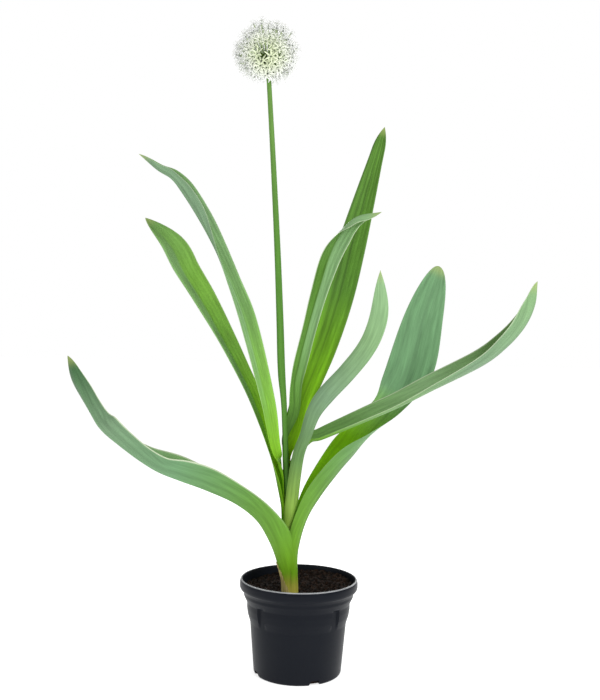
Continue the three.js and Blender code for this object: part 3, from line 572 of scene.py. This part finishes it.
# A sheath stands at one side of the neck on a ring of its own radius, and wraps so much of it
# at its foot and at its top. The faces go through their tones from foot to tip. Edge and bands
# are the strengths of the pale margin and of the markings, bands also of the painted shade along
# the keel's crease, and sheen_half is the half of the inner face that is painted paler, a painted
# sheen.
# Tip is its taper's length and a power, below 1 for a blunter tip. Blade rows are keel x, y,
# z, heading, roll, width, curl and fold. Lengths are in millimetres and angles in degrees.
LEAVES = [
    dict(name="leaf_low_left", side=186, ring=12.5, wrap=(190, 176), leaves_at=134,
        outside=(FRESH, GRASS, SAGE, WAXY, DARK_SAGE), inside=(FRESH, GRASS, PALEST, GRASS),
        edge=0.9, bands=0.04, sheen_half=0, tip=(60, 0.75), blade=[
        [-33, -19, 165, 187, -5, 59, 150, 4], [-45, -21, 195, 188, -8, 86, 120, 14],
        [-64, -24, 225, 189, -7, 74, 100, 22], [-95, -29, 249, 190, -9, 70, 90, 28],
        [-136, -36, 268, 192, -9, 81, 90, 30], [-171, -41, 281, 193, -1, 84, 86, 32],
        [-203, -46, 294, 193, 8, 73, 80, 34], [-230, -51, 311, 193, 0, 61, 74, 34],
        [-257, -57, 332, 193, -11, 59, 70, 32], [-281, -62, 353, 193, -12, 66, 66, 30],
        [-295, -66, 375, 194, -32, 45, 60, 26], [-316, -75, 424, 194, -50, 33, 50, 18],
        [-326, -81, 458, 194, -44, 34, 46, 14]]),
    dict(name="leaf_low_right", side=4, ring=11.5, wrap=(180, 168), leaves_at=152,
        outside=(FRESH, GRASS, SAGE, SAGE, SAGE), inside=(LIT, LIT, LIT, SAGE, SAGE, SAGE),
        edge=0.05, bands=0.05, sheen_half=0, tip=(185, 0.5), blade=[
        [-1, -17, 184, 6, 11, 52, 150, 4], [10, -13, 224, 8, 8, 59, 110, 16],
        [29, -7, 257, 10, 6, 70, 90, 26], [58, 3, 295, 12, -1, 77, 80, 30],
        [81, 12, 321, 14, -9, 82, 70, 28], [104, 22, 351, 16, -26, 65, 62, 24],
        [133, 34, 383, 18, -40, 59, 56, 18], [153, 46, 415, 20, -45, 72, 48, 12],
        [167, 56, 451, 20, -60, 76, 40, 8], [185, 69, 527, 20, -76, 74, 34, 6],
        [210, 80, 607, 20, -86, 76, 30, 5]]),
    dict(name="leaf_front", side=-60, ring=10.5, wrap=(170, 140), leaves_at=212,
        outside=(LIME, DUSKY, WAXY, PALE, PALEST), inside=(FRESH, WAXY, PALE),
        edge=0.15, bands=0.04, sheen_half=0, tip=(72, 1), blade=[
        [-12, -32, 256, -56, 31, 23, 110, 4], [-5, -42, 318, -52, 40, 20, 84, 8],
        [5, -48, 349, -50, 45, 20, 76, 10], [15, -54, 381, -48, 49, 24, 70, 10],
        [31, -60, 407, -46, 56, 29, 66, 10], [59, -69, 439, -46, 58, 29, 62, 10],
        [83, -77, 470, -46, 55, 29, 60, 10], [97, -83, 498, -46, 51, 29, 60, 9],
        [104, -89, 531, -46, 49, 28, 60, 8], [103, -97, 583, -46, 49, 28, 56, 8]]),
    dict(name="leaf_left", side=160, ring=9.5, wrap=(175, 150), leaves_at=240,
        outside=(FRESH, GRASS, WAXY), inside=(LIT, LIT, GLOSSY, GLOSSY, MEADOW),
        edge=0.3, bands=0.06, sheen_half=-1, tip=(88, 0.8), blade=[
        [-35, -14, 278, 172, 0, 28, 112, 0], [-47, -3, 337, 150, 34, 23, 80, 14],
        [-70, 2, 394, 150, 31, 29, 60, 20], [-92, 6, 438, 150, 31, 31, 50, 22],
        [-119, 10, 485, 150, 25, 39, 46, 22], [-152, 15, 542, 150, 29, 46, 44, 20],
        [-180, 20, 585, 150, 27, 50, 40, 18], [-202, 26, 625, 150, 27, 50, 34, 14],
        [-242, 33, 667, 150, 23, 48, 26, 8]]),
    dict(name="leaf_far_right", side=4, ring=8.5, wrap=(150, 130), leaves_at=296,
        outside=(FRESH, MEADOW, WAXY, PALE), inside=(GRASS, MEADOW, PALE, DUSKY, MEADOW),
        edge=0.5, bands=0.05, sheen_half=0, tip=(60, 0.75), blade=[
        [11, -15, 335, 0, -22, 31, 110, 16], [33, -19, 344, -4, -27, 38, 96, 18],
        [100, -33, 375, -8, -30, 45, 80, 20], [140, -41, 394, -8, -28, 48, 76, 20],
        [181, -49, 416, -8, -23, 54, 76, 20], [251, -64, 454, -8, -13, 59, 78, 22],
        [285, -71, 482, -8, -6, 59, 80, 24], [308, -76, 511, -8, 1, 57, 80, 24],
        [320, -79, 541, -8, 9, 53, 78, 24], [322, -82, 573, -8, 12, 52, 76, 24]]),
    dict(name="leaf_arching", side=165, ring=7.5, wrap=(160, 140), leaves_at=282,
        outside=(FRESH, GRASS, WAXY, WAXY), inside=(LIT, GLOSSY, MEADOW, PALE, MEADOW),
        edge=0.3, bands=0.07, sheen_half=-1, tip=(50, 0.8), blade=[
        [-34, -17, 305, 184, 0, 21, 100, 0], [-39, -20, 331, 164, 52, 19, 90, 10],
        [-53, -18, 397, 158, 39, 28, 60, 18], [-84, -21, 508, 155, 33, 35, 48, 22],
        [-108, -27, 570, 155, 31, 32, 52, 28], [-138, -34, 629, 155, 13, 39, 60, 42],
        [-159, -38, 665, 155, -4, 42, 62, 50], [-179, -42, 695, 155, -3, 41, 62, 50],
        [-193, -45, 712, 155, 1, 32, 60, 46], [-213, -48, 724, 155, -6, 26, 56, 40],
        [-238, -52, 745, 155, -10, 28, 46, 30]]),
    dict(name="leaf_bent_tip", side=100, ring=5.6, wrap=(150, 100), leaves_at=330,
        outside=(FRESH, WAXY, PALE, PALE), inside=(GRASS, GRASS, DEEP, MEADOW),
        edge=0.7, bands=0.09, sheen_half=1, tip=(40, 0.8), blade=[
        [-24, -9, 346, 92, 0, 10, 88, 0], [-13, -3, 381, 98, -11, 18, 60, 6],
        [-13, -5, 421, 96, -37, 26, 50, 12], [-7, -7, 453, 94, -31, 28, 46, 14],
        [6, -13, 509, 92, -34, 29, 44, 14], [19, -16, 557, 90, -25, 30, 42, 14],
        [33, -20, 607, 90, -27, 38, 46, 18], [46, -23, 637, 90, -37, 41, 56, 30],
        [60, -25, 656, 90, -56, 35, 60, 40], [78, -27, 668, 90, -63, 27, 60, 44],
        [109, -31, 673, 90, -53, 25, 50, 36]]),
    dict(name="leaf_tall", side=64, ring=6.5, wrap=(150, 124), leaves_at=312,
        outside=(FRESH, GRASS, GRASS), inside=(LIT, FRESH, DEEP, DEEP, DEEP),
        edge=0.1, bands=0.16, sheen_half=0, tip=(40, 0.9), blade=[
        [-8, 1, 361, 70, -21, 36, 70, 5], [0, 9, 398, 74, -22, 36, 50, 6],
        [28, 19, 473, 70, -22, 43, 40, 7], [51, 28, 548, 68, -23, 46, 36, 7],
        [69, 38, 625, 67, -25, 45, 34, 7], [89, 49, 703, 66, -25, 34, 32, 6],
        [108, 61, 775, 66, -25, 22, 30, 5], [120, 69, 820, 66, -25, 18, 30, 4]]),
]
BLADE_STATIONS = 150
TIP_CROWDING = 1.3  # above 1, a blade's stations stand closer together towards its tip
SHEATH_STATIONS = 26
LEAF_ACROSS = 61
LEAF_FOOT = 100.0  # height along the neck where the sheaths stand on the bulb
LEAF_MARGIN = 0.3  # thickness at the margins
LEAF_KEEL = 1.4  # and so much more at a blade's keel
SHEATH_KEEL = 0.35  # or at a sheath's
TIP_WIDTH = 0.8
NECK_PULL = 1.2  # how strongly a blade keeps to the neck's line before it bends away
LEAST_CURL = 0.05  # in radians, so that no width is divided by zero
RIBS = 7
RIB_HEIGHT = 0.22
SLIM_WIDTH = 20.0  # ribs and thickness fade where a leaf is narrower than this
WIDTH_SHARE = 0.12  # a narrow leaf is no thicker than its margins and this share of its width
# Places across a leaf, from 0 at its keel to 1 at a margin
MARGIN_BAND = (0.93, 0.98)
SHEEN_HALF_BAND = (0.02, 0.2)
CREASE_SHADE_WIDTH = 0.05
# Lengths from the sheath over which each sets in along the blade
BLADE_STARTS = (0, 60)
MARGIN_STARTS = (60, 150)
CREASE_SHADE_STARTS = (0, 120)
SHEEN_HALF_STARTS = (60, 200)
# Lengths from the tip over which the markings fade, and the yellow end
END_FADES = (10, 90)
YELLOW_END = (1, 22)
# Heights over which the neck's two tints fade out
TAN_NECK = (124, 152)
GREEN_NECK = (140, 205)
# The "pale" share is how strongly the painted sheen pales one half of the inner face
SHARES = {"green": 0.5, "tan": 0.8, "yellow": 0.6, "pale": 0.6, "patches": 0.04, "bloom": 0.05}


def neck_ring(radius, angle, z):
    """A point round the neck: its middle line at z, plus radius (cos a east + sin a north)."""
    return on_neck(z) + radius * np.cos(angle) * east + radius * np.sin(angle) * north


def strip_capped(count, sides):
    """Faces of a flat band whose rings run out along one face and back along the other.

    Points i and n-1-i of a ring face each other, and quads between them close both ends."""
    i = np.arange(sides // 2 - 1)
    j = sides - 1 - i
    start = np.stack([i, j, j - 1, i + 1], -1)
    end = start[:, ::-1] + (count - 1) * sides
    band = tube_faces(count, sides)
    return [tuple(f) for f in np.vstack([band, start, end])[:, ::-1]]


def smooth_rows(rows, before, count, crowding=1.0):
    """A Catmull-Rom curve through rows of numbers, from `before` to beyond the last row."""
    q = np.vstack([before, rows, 2 * rows[-1] - rows[-2]])
    t = (len(rows) - 1) * (1 - np.linspace(1, 0, count) ** crowding)
    k = np.minimum(t.astype(int), len(rows) - 2)
    f = (t - k)[:, None]
    a, b, c, d = q[k], q[k + 1], q[k + 2], q[k + 3]
    return 0.5 * (2 * b + (c - a) * f + (2 * a - 5 * b + 4 * c - d) * f ** 2
                  + (3 * b - a - 3 * c + d) * f ** 3)


def leaf_rows(leaf):
    """Rows of a leaf from the bulb to its tip: its sheath, then a curve through its blade."""
    def sheath(z, wrap):
        keel = neck_ring(leaf["ring"], np.radians(leaf["side"]), z)
        return np.array([*keel, leaf["side"], 0, leaf["ring"] * np.radians(wrap), wrap, 0])

    foot = sheath(LEAF_FOOT, leaf["wrap"][0])
    top = sheath(leaf["leaves_at"], leaf["wrap"][1])
    blade = np.array(leaf["blade"], float)
    before = blade[0].copy()
    before[:3] -= NECK_PULL * np.linalg.norm(blade[0, :3] - top[:3]) * lean
    low = np.linspace(0, 1, SHEATH_STATIONS)[:-1, None]
    curve = smooth_rows(np.vstack([top, blade]), before, BLADE_STATIONS, TIP_CROWDING)
    return np.vstack([foot * (1 - low) + top * low, curve])


class LeafShape:
    """The keel line of a leaf, its widths and lengths, and the frame of each of its sections."""

    def __init__(self, leaf):
        rows = leaf_rows(leaf)
        self.keel = rows[:, :3]
        along = unit(np.gradient(self.keel, axis=0))
        along[:SHEATH_STATIONS] = lean
        heading, roll = np.radians(rows[:, 3]), np.radians(rows[:, 4:5])
        side = np.stack([np.sin(heading), -np.cos(heading), 0 * heading], -1)
        side = unit(side - (side * along).sum(1, keepdims=True) * along)
        inward = np.cross(side, along)
        self.across = side * np.cos(roll) + inward * np.sin(roll)
        self.upward = inward * np.cos(roll) - side * np.sin(roll)
        steps = np.linalg.norm(np.diff(self.keel, axis=0), axis=1)
        self.length = np.concatenate([[0], np.cumsum(steps)])[:, None]
        self.to_tip = self.length[-1] - self.length
        self.on_blade = self.length - self.length[SHEATH_STATIONS]
        from_tip = np.clip(self.to_tip / leaf["tip"][0], 0, 1)
        narrowing = (1 - (1 - from_tip) ** 2) ** leaf["tip"][1]
        self.width = np.maximum(rows[:, 5:6] * narrowing, TIP_WIDTH)
        self.curl = np.maximum(np.radians(rows[:, 6:7]), LEAST_CURL)
        self.fold = np.radians(rows[:, 7:8])

    def at(self, u, depth, stations=slice(None)):
        """Points at u, from -1 to 1 across the leaf, and `depth` inside its outer face.

        The section turns by |u| curl / 2 + fold, so it is an arc on each side of a fold at
        the keel: width / curl (sin turn - sin fold) sideways, width / curl (cos fold - cos
        turn) upwards. The depth goes square to the arc, and straight up at the keel."""
        curl, fold, width = self.curl[stations], self.fold[stations], self.width[stations]
        turn = np.abs(u) * curl / 2 + fold
        tilt = turn * np.minimum(np.abs(u) / 0.15, 1)
        out = width / curl * (np.sin(turn) - np.sin(fold)) - depth * np.sin(tilt)
        sideways = np.sign(u) * out
        lift = width / curl * (np.cos(fold) - np.cos(turn)) + depth * np.cos(tilt)
        return (self.keel[stations, None] + sideways[..., None] * self.across[stations, None]
                + lift[..., None] * self.upward[stations, None])


def mixed(first, second, share):
    """Colours `share` of the way from the first to the second."""
    return first * (1 - share[..., None]) + second * share[..., None]


def along_blade(tones, place):
    """A colour that goes through `tones` at even steps, as place goes from 0 to 1."""
    steps = np.linspace(0, 1, len(tones))
    return np.stack([np.interp(place, steps, channel) for channel in np.transpose(tones)], -1)


def leaf_surface(leaf, seed):
    """Points, colours and surface coordinates of both faces of a leaf.

    The inner face stands off the outer one by the leaf's thickness, which falls to the
    margins as a half circle does, and it carries low ribs, cos(RIBS pi u), along the leaf."""
    shape = LeafShape(leaf)
    u = np.sin(np.linspace(-1, 1, LEAF_ACROSS) * np.pi / 2)[None, :]
    one = np.ones_like(u * shape.length)
    blade = ease(*BLADE_STARTS, shape.on_blade)
    slim = np.minimum(shape.width / SLIM_WIDTH, 1)
    keel = SHEATH_KEEL + (LEAF_KEEL - SHEATH_KEEL) * blade * slim
    thickness = LEAF_MARGIN + keel * np.sqrt(1 - u ** 2)
    thickness = np.minimum(thickness, LEAF_MARGIN + WIDTH_SHARE * shape.width)
    ribs = RIB_HEIGHT * blade * slim * np.cos(RIBS * np.pi * u) * (1 - u ** 4)
    points = np.concatenate([shape.at(u, 0), shape.at(u, thickness + ribs)[:, ::-1]], 1)

    # Random bands run along the leaf, and larger patches lie all over it
    bands = roughness_of(shape.length / 300, 9 * u, seed + 50, 24, 2, 7)
    patches = roughness_of(shape.length / 6, u * shape.width / 2, seed, 24, 4, 20)
    before_end = ease(*END_FADES, shape.to_tip)
    # Painted shade: the inner face is darkened in a thin line along the keel's crease
    crease_shade = 2.5 * leaf["bands"] * np.exp(-(u / CREASE_SHADE_WIDTH) ** 2)
    crease_shade = crease_shade * ease(*CREASE_SHADE_STARTS, shape.on_blade)
    # Painted sheen: one half of the inner face is mixed towards PALEST, as where light grazes it
    half = ease(*SHEEN_HALF_BAND, u * leaf["sheen_half"]) * ease(*SHEEN_HALF_STARTS, shape.on_blade)
    margin = leaf["edge"] * ease(*MARGIN_BAND, np.abs(u)) * ease(*MARGIN_STARTS, shape.on_blade)
    tints = (
        (NECK_GREEN, SHARES["green"] * (1 - ease(*GREEN_NECK, shape.keel[:, 2:3]))),
        (NECK_TAN, SHARES["tan"] * (1 - ease(*TAN_NECK, shape.keel[:, 2:3]))),
        (TIP_YELLOW, SHARES["yellow"] * (1 - ease(*YELLOW_END, shape.to_tip))),
        (MARGIN_PALE, margin))

    place = np.clip(shape.on_blade / shape.on_blade[-1], 0, 1) * one
    outside = along_blade(leaf["outside"], place)
    inside = mixed(along_blade(leaf["inside"], place), PALEST, SHARES["pale"] * half * before_end)
    inside = inside * (1 - crease_shade * before_end)[..., None]
    colours = []
    for face, banding in ((outside, SHARES["bloom"]), (inside, leaf["bands"])):
        face = face * (1 + banding * bands * blade + SHARES["patches"] * patches)[..., None]
        for tint, share in tints:
            face = mixed(face, tint, share * one)
        colours.append(face)
    colour = np.concatenate([colours[0], colours[1][:, ::-1]], 1)
    colour = np.concatenate([np.clip(colour, 0, 1), np.ones_like(colour[..., :1])], -1)
    grid = np.stack([u * shape.width / 2 * MM, shape.length * MM + 0 * u, 0 * one + seed], -1)
    surface = np.concatenate([grid, grid[:, ::-1] + (0, 0, 0.5)], 1)
    return points, colour, surface


# The leaf's colour from its points, painted light and shade included, with fine veins and
# wider streaks that run along it
leaf_skin = finish("leaf_skin", Roughness=0.5, Specular_IOR_Level=0.12)
painted = add_node(leaf_skin, "Attribute", attribute_name="leaf_colour").outputs["Color"]
grid = add_node(leaf_skin, "Attribute", attribute_name="leaf_place").outputs["Vector"]
lengthwise = stretched(leaf_skin, grid, (1, 0.022, 1))
veins = noise(leaf_skin, 950, lengthwise, Detail=3, Roughness=0.55)
streaks = noise(leaf_skin, 220, lengthwise, Detail=2)
light = product(leaf_skin, ranged(leaf_skin, veins, 0.3, 0.7, 0.86, 1.14),
                ranged(leaf_skin, streaks, 0.3, 0.7, 0.94, 1.06))
toned = add_node(leaf_skin, "VectorMath", {0: painted, "Scale": light}, operation="SCALE")
into_shader(leaf_skin, "Base Color", toned.outputs["Vector"])
bumpy(leaf_skin, veins, 0.35, 0.0004)

for seed, leaf in enumerate(LEAVES):
    points, colour, surface = leaf_surface(leaf, 20 + seed)
    blade = piece(leaf["name"] + "_blade", points, strip_capped(*points.shape[:2]), [leaf_skin],
                  leaf_colour=colour, leaf_place=surface)
    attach(blade, "root")
    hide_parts(leaf["name"])


# Dry sheath
# What is left of last year's outer sheath: a cream papery sleeve that lies against the
# outside of the lowest leaf, highest at the left and torn into fibres along its edge.
SHEATH_GAP = 0.35
SHEATH_THICKNESS = 0.3
SHEATH_ACROSS = 121
SHEATH_SPAN = (-0.96, 0.86)  # of the lowest leaf's sheath, from the front margin to the back
SHEATH_TOP = 166.0
SHEATH_HIGH = (0.56, 0.6)  # its edge is highest between these shares of its way round
SHEATH_FALLS = (40, 26)  # and so much lower at the front and at the back
TEARS = ((3, 17, 1, 1.5), (4, 61, 2, 3))  # depth, count, shift and sharpness of two sets
FOLDS = (46, 41)  # wavelets of the paper across the sleeve, below and at its edge
FLARE = 0.9  # how far the torn edge stands off

lowest = LeafShape(LEAVES[0])
upto = np.searchsorted(lowest.keel[:, 2], SHEATH_TOP)
inset = np.linspace(0, 1, SHEATH_ACROSS)[None, :]
height = lowest.keel[:upto, 2]
torn = sum(depth * np.abs(np.sin(count * inset + shift)) ** sharpness
           for depth, count, shift, sharpness in TEARS)
top_edge = (SHEATH_TOP - SHEATH_FALLS[0] * (1 - ease(0, SHEATH_HIGH[0], inset))
            - SHEATH_FALLS[1] * ease(SHEATH_HIGH[1], 1, inset) - torn)
share = (height[:, None] - LEAF_FOOT) / (height[-1] - LEAF_FOOT)
station = share * (top_edge - LEAF_FOOT) + LEAF_FOOT
k = np.clip(np.searchsorted(height, station), 1, upto - 1)
rise = ((station - height[k - 1]) / (height[k] - height[k - 1]))[..., None]
span = SHEATH_SPAN[0] + np.ptp(SHEATH_SPAN) * inset + 0.02 * np.sin(share * 9 + 5 * inset)
bow = 0.15 * (1 + np.sin(FOLDS[0] * inset + 3 * share)) * ease(0.35, 1, share)
bow = bow + FLARE * ease(0.72, 1, share) * np.sin(FOLDS[1] * inset) ** 2


def against_leaf(depth):
    """Points `depth` inside the lowest leaf's outer face, at the sheath's own heights."""
    columns = np.arange(SHEATH_ACROSS)[None, :]
    everywhere = lowest.at(span, depth, slice(0, upto))
    return everywhere[k - 1, columns] * (1 - rise) + everywhere[k, columns] * rise


outer = against_leaf(-(SHEATH_GAP + SHEATH_THICKNESS + bow))
inner = against_leaf(-(SHEATH_GAP + bow))
loops = np.concatenate([inner, outer[:, ::-1]], 1)

papery = finish("papery_sheath", Roughness=0.75)
upright = stretched(papery, object_place(papery), (1, 1, 0.1))
two_tone(papery, noise(papery, 700, upright, Detail=4),
         (0.3, (0.3, 0.24, 0.04)), (0.62, (0.66, 0.56, 0.22)))
dry_sheath = piece("papery_sleeve", loops, strip_capped(*loops.shape[:2]), [papery])
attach(dry_sheath, "root")
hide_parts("dry_sheath")


# Flower stem
# A round solid scape, 11 mm thick above the leaves and 7 mm under the head, smooth with the
# finest lengthwise lines. It grows from the bulb up the middle of the neck.
STEM_RADIUS = 4.1
STEM_LEAVES_AT = 380.0
STEM = [[-31, -14, 440, 5.5], [-35, -13, 520, 5.2], [-40.5, -12, 620, 4.6],
        [-48.5, -10, 740, 4.0], [-58.5, -9, 878, 3.4]]  # middle x, y, z and radius
STEM_SIDES = 40
STEM_PALES = (560, 860)  # between these heights
STEM_GREEN = (0.095, 0.25, 0.036)
STEM_PALE = (0.13, 0.27, 0.055)

in_neck = np.linspace(LEAF_FOOT, STEM_LEAVES_AT, 40)[:-1]
neck_rows = np.column_stack([on_neck(in_neck), np.full(len(in_neck), STEM_RADIUS)])
leave_row = np.array([*on_neck(STEM_LEAVES_AT), STEM_RADIUS])
half_row = np.array([*on_neck((LEAF_FOOT + STEM_LEAVES_AT) / 2), STEM_RADIUS])
stem_rows = np.vstack([neck_rows, smooth_rows(np.vstack([leave_row, STEM]), half_row, 170)])
stem_rings = rod(stem_rows[:, :3], stem_rows[:, 3], STEM_SIDES)
height = stem_rings[..., 2]
stem_tone = mixed(STEM_GREEN, STEM_PALE, ease(*STEM_PALES, height))
stem_tone = np.concatenate([stem_tone, np.ones_like(stem_tone[..., :1])], -1)
angle = np.arange(STEM_SIDES) * 2 * np.pi / STEM_SIDES + 0 * height
stem_place = np.stack([4 * np.cos(angle), height, 4 * np.sin(angle)], -1) * MM
stem = piece("scape", stem_rings, capped(len(stem_rows), STEM_SIDES), [leaf_skin],
             leaf_colour=stem_tone, leaf_place=stem_place)
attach(stem, "root")
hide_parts("flower_stem")


# Flower head
# A ball of star florets, flatter below than above. Each has six narrow white tepals, six
# stamens and a green ovary, and its thin stalk grows from the green receptacle on the stem.
# Green buds that have yet to open stand between the stalks.
HEAD_CENTRE = np.array([-61.0, -9.0, 900.0])
YOUNG_SIDE = np.array([-60.0, -48.0, 892.0])  # round here the florets are still creamy
HUB = np.array([-59.0, -9.0, 886.0])
HEAD_RADIUS = 48.0
HEAD_RISE = 1.06  # height of the head above its middle, over its radius
HEAD_DROP = 0.62  # and below it
FLORETS = 230
FLORET_LEVELS = (0.985, 1.955, 0.1)  # see around()
FLORET_DEPTHS = (0.74, 0.99)  # shares of the head's radius
FACING_JITTER = 5.0
GAP_DIRECTION = np.array([-0.09, -0.97, 0.22])  # a place at the front with no florets
GAP_HALF_ANGLE = 16.0
HANGING = np.array([[-66, -23, 874], [-59, -26, 871], [-51, -24, 873.5], [-62, -20, 870],
                    [-55, -19, 871]])  # the lowest florets, in front of the stem
TEPAL_LENGTH = 10.5
TEPAL_HALF_WIDTH = 1.3
TEPAL_FORMS = [(1.6, 3.4), (4.2, 3.0), (6.4, 2.4)]  # lift and droop of flat to cupped florets
ANTHER_PLACE = (3.4, 5.9)  # out from the ovary and up from the floret's seat
ANTHER_SIZE = (0.34, 0.34, 0.7)
HUB_RADIUS = 6.5
RECEPTACLE = [[0, 878.6], [3.5, 878.6], [4.4, 880.5], [6.2, 884], [6.5, 888], [4, 891.6],
              [0, 892.6]]
STALK_ROOT = 5.0  # from the hub's middle
STALK_BOW = 2.0
STALK_RADII = (0.55, 0.48, 0.48, 0.66)
BUDS = 110
BUD_LEVELS = (0.75, 1.1, 0.2)
BUD_DISTANCES = (9, 21)  # from the hub

draw = np.random.default_rng(31)


def around(count, highest, span, jitter):
    """Directions on a golden-angle spiral, whose level falls evenly from the highest.

    Each turns 137.5 degrees on from the last, give or take the jitter, in radians."""
    k = np.arange(count)
    level = highest - span * (k + 0.5) / count
    turn = k * np.pi * (3 - np.sqrt(5)) + draw.normal(0, jitter, count)
    ring = np.sqrt(1 - level ** 2)
    return np.stack([ring * np.cos(turn), ring * np.sin(turn), level], -1)


def facing_frames(facing, spin):
    """Rotation matrices whose third axis is `facing`, turned about it by `spin`."""
    helper = np.where(np.abs(facing[:, 2:]) > 0.9, [[1.0, 0, 0]], [[0, 0, 1.0]])
    right = unit(np.cross(helper, facing))
    over = np.cross(facing, right)
    first = np.cos(spin)[:, None] * right + np.sin(spin)[:, None] * over
    return np.stack([first, np.cross(facing, first), facing], -1)


seats = around(FLORETS, *FLORET_LEVELS)
seats[:, 2] *= np.where(seats[:, 2] > 0, HEAD_RISE, HEAD_DROP)
seats = HEAD_CENTRE + seats * HEAD_RADIUS * draw.uniform(*FLORET_DEPTHS, (FLORETS, 1))
beside_gap = unit(seats - HUB) @ GAP_DIRECTION < np.cos(np.radians(GAP_HALF_ANGLE))
seats = np.vstack([seats[beside_gap], HANGING])
facing = unit(seats - HUB + draw.normal(0, FACING_JITTER, seats.shape))
floret_turns = facing_frames(facing, draw.uniform(0, 2 * np.pi, len(seats)))


def tepal(angle, lift, droop):
    """A narrow strap with a pointed end, as a thin four-sided tube.

    Along s from 0 to 1 it runs out by 0.9 + length s and forward by 0.3 + lift s - droop
    s^2. It is widest at a third of its length, and its middle lies lower than its sides."""
    s = np.array([0, 0.3, 0.65, 0.9, 1])
    out = 0.9 + TEPAL_LENGTH * s
    forward = 0.3 + lift * s - droop * s ** 2
    half = TEPAL_HALF_WIDTH * np.array([0.55, 1, 0.85, 0.5, 0.1])
    section = ((1, 0.25), (0, 0.05), (-1, 0.25), (0, -0.2))
    rings = np.stack([np.stack([out, side * half, forward + rise], -1)
                      for side, rise in section], 1)
    c, n = np.cos(angle), np.sin(angle)
    return rings @ np.array([[c, n, 0], [-n, c, 0], [0, 0, 1]]), capped(5, 4)


def stamen(angle):
    """A thread from beside the ovary that leans out as it rises."""
    s = np.linspace(0, 1, 3)[:, None]
    out = np.array([np.cos(angle), np.sin(angle), 0])
    line = out * (1.0 + 2.4 * s ** 1.5) + np.array([0, 0, 1]) * (0.4 + 5.4 * s)
    return rod(line, (0.3, 0.2, 0.14), 3), capped(3, 3)


def mottled(name, scale, low, high, **sockets):
    """A material that goes between two colours with a fine noise in Object coordinates."""
    material = finish(name, **sockets)
    two_tone(material, noise(material, scale, Detail=3), (0.35, low), (0.65, high))
    return material


def far_from(material, point, near, far):
    """A share from 0 to 1 as the distance from a point goes from near to far, in metres."""
    away = add_node(material, "VectorMath", {
        0: object_place(material), 1: tuple(point * MM)}, operation="DISTANCE")
    return ranged(material, away.outputs["Value"], near, far)


# The tepals and stamens glow faintly white: painted light that stands in for light shining through
# them
white_tepal_painted_glow = finish("white_tepal_painted_glow", Roughness=0.6, Emission_Color=(1, 1, 0.96, 1),
                     Emission_Strength=0.13)
blend(white_tepal_painted_glow, far_from(white_tepal_painted_glow, YOUNG_SIDE, 0.012, 0.042),
      (0.76, 0.84, 0.54), (0.95, 0.96, 0.95))
star_parts = []
for form, (lift, droop) in enumerate(TEPAL_FORMS):
    mine = np.arange(len(seats)) % len(TEPAL_FORMS) == form
    star = joined([tepal(n * np.pi / 3, lift, droop) for n in range(6)])
    star_parts.append(repeated(*star, floret_turns[mine], seats[mine]))
tepals = piece("floret_tepals", *joined(star_parts), [white_tepal_painted_glow])
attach(tepals, "root")
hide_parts("umbel")

threads = joined([stamen((n + 0.5) * np.pi / 3) for n in range(6)])
stamens = piece("floret_stamens", *repeated(*threads, floret_turns, seats), [white_tepal_painted_glow])
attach(stamens, "root")

anther_pale = mottled("anther_pale", 220, (0.5, 0.52, 0.4), (0.8, 0.8, 0.68), Roughness=0.7)
out, up = ANTHER_PLACE
anther_set = joined([
    (crumb * ANTHER_SIZE + (out * np.cos(angle), out * np.sin(angle), up), eight_sides)
    for angle in (np.arange(6) + 0.5) * np.pi / 3])
anthers = piece("floret_anthers", *repeated(*anther_set, floret_turns, seats), [anther_pale])
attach(anthers, "root")

ovary_profile = [[0, -0.6], [0.8, -0.2], [1.25, 0.9], [1.0, 2.0], [0.4, 2.7], [0, 2.8]]
ovary = lathe(ovary_profile, 9, lambda r, z, a: r * (1 + 0.12 * np.cos(3 * a)))
ovary_green = mottled("ovary_green", 90, (0.012, 0.032, 0.012), (0.06, 0.12, 0.03), Roughness=0.4)
ovaries = piece("floret_ovaries", *repeated(*ovary, floret_turns, seats), [ovary_green])
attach(ovaries, "root")

bud = lathe([[0, -0.5], [0.9, 0.2], [1.7, 1.8], [1.5, 3.6], [0.6, 5.2], [0, 5.6]], 8)
bud_out = around(BUDS, *BUD_LEVELS)
bud_seats = HUB + bud_out * draw.uniform(*BUD_DISTANCES, (BUDS, 1))
bud_turns = facing_frames(bud_out, draw.uniform(0, 2 * np.pi, BUDS))
bud_green = mottled("bud_green", 90, (0.012, 0.045, 0.003), (0.16, 0.27, 0.01), Roughness=0.45)
buds = piece("young_buds", *repeated(*bud, bud_turns, bud_seats), [bud_green])
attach(buds, "root")

stalk_green = finish("stalk_green", Roughness=0.5)
two_tone(stalk_green, far_from(stalk_green, HUB, HUB_RADIUS * MM, HEAD_RADIUS * MM),
         (0.0, (0.07, 0.16, 0.012)), (0.75, (0.5, 0.62, 0.32)))
receptacle, receptacle_faces = lathe(rounded(RECEPTACLE, 1.2), 28)
stalk_parts = [(receptacle + (HUB[0] + 0.3, HUB[1], 0), receptacle_faces)]
for seat, face in [*zip(seats, facing), *zip(bud_seats, bud_out)]:
    s = np.linspace(0, 1, 4)[:, None]
    root = HUB + unit(seat - HUB) * STALK_ROOT
    line = root + (seat - root) * s - face * STALK_BOW * np.sin(np.pi * s)
    stalk_parts.append((rod(line, STALK_RADII, 4), capped(4, 4)))
stalks = piece("floret_stalks", *joined(stalk_parts), [stalk_green])
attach(stalks, "root")
